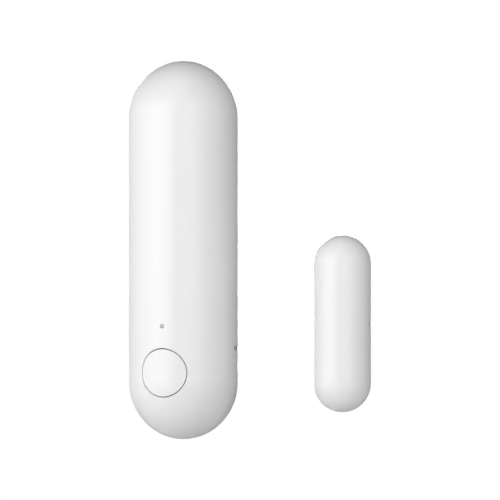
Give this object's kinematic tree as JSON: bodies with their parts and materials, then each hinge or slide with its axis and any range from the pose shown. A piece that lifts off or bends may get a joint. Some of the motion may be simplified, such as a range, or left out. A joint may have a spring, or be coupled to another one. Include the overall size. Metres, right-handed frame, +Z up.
{
  "type": "door contact sensor",
  "caption": "Two-piece wireless door contact sensor: a pill-shaped sensor with a push button and indicator, and a smaller pill-shaped magnet unit, both held by adhesive tape.",
  "frame": {"origin": "centre of the sensor's adhesive face, in the plane of the wall or door frame", "axes": "+X from the sensor to the magnet, +Y into the surface, +Z up the sensor"},
  "size_m": [0.0515, 0.021, 0.0798],
  "materials": {
    "shell_white": "fine satin grain",
    "button_white": "fine satin grain",
    "chassis_grey": "moulded, fine grain",
    "foam_tape": "closed-cell foam, matt",
    "clear_plastic": "frosted clear plastic",
    "screw_steel": "zinc plated",
    "board_green": "solder mask over glass fibre",
    "chip_black": "moulded epoxy",
    "crystal_can": "plated can",
    "capacitor_tan": "ceramic with tinned ends",
    "resistor_black": "ceramic with tinned ends",
    "antenna_ceramic": "ceramic",
    "shield_tin": "tinned sheet",
    "cell_steel": "nickel-plated can",
    "cell_sleeve": "shrink film",
    "contact_nickel": "nickel-plated spring steel",
    "led_white": "moulded, with a clear lens",
    "switch_black": "moulded nylon",
    "plunger_black": "moulded nylon",
    "reed_glass": "clear, faintly green",
    "magnet_nickel": "nickel plated"
  },
  "bodies": {
    "wall": {"wall_plate": "shell_white", "sensor_tape": "foam_tape"},
    "housing": {"front_housing": "shell_white", "inner_chassis": "chassis_grey", "chassis_screws": "screw_steel", "main_board": "board_green", "controller_chip": "chip_black", "timing_crystal": "crystal_can", "board_capacitors": "capacitor_tan", "board_resistors": "resistor_black", "chip_antenna": "antenna_ceramic", "radio_shield": "shield_tin", "battery_cell": "cell_steel", "battery_sleeve": "cell_sleeve", "positive_contact": "contact_nickel", "negative_contact": "contact_nickel", "negative_spring": "contact_nickel", "status_led": "led_white", "light_pipe": "clear_plastic", "switch_body": "switch_black", "switch_cover": "shield_tin", "switch_terminals": "contact_nickel", "reed_glass": "reed_glass", "reed_leads": "contact_nickel"},
    "button": {"button_cap": "button_white"},
    "plunger": {"switch_plunger": "plunger_black"},
    "magnet": {"magnet_housing": "shell_white", "magnet_base": "shell_white", "bar_magnet": "magnet_nickel", "magnet_tape": "foam_tape"}
  },
  "joints": [
    {"name": "housing_release", "type": "slide", "parent": "wall", "child": "housing", "axis": [0, 0, 1], "range_m": [0, 0.085]},
    {"name": "button_press", "type": "slide", "parent": "housing", "child": "button", "axis": [0, 1, 0], "range_m": [0, 0.0003], "stiffness_N_per_m": 3000, "springref_m": -0.0005},
    {"name": "plunger_travel", "type": "slide", "parent": "housing", "child": "plunger", "axis": [0, 1, 0], "range_m": [0, 0.0003]},
    {"name": "magnet_travel", "type": "slide", "parent": "wall", "child": "magnet", "axis": [1, 0, 0], "range_m": [-0.012, 0.1]}
  ],
  "couplings": [
    {"joint": "plunger_travel", "follows": "button_press", "ratio": 1}
  ]
}
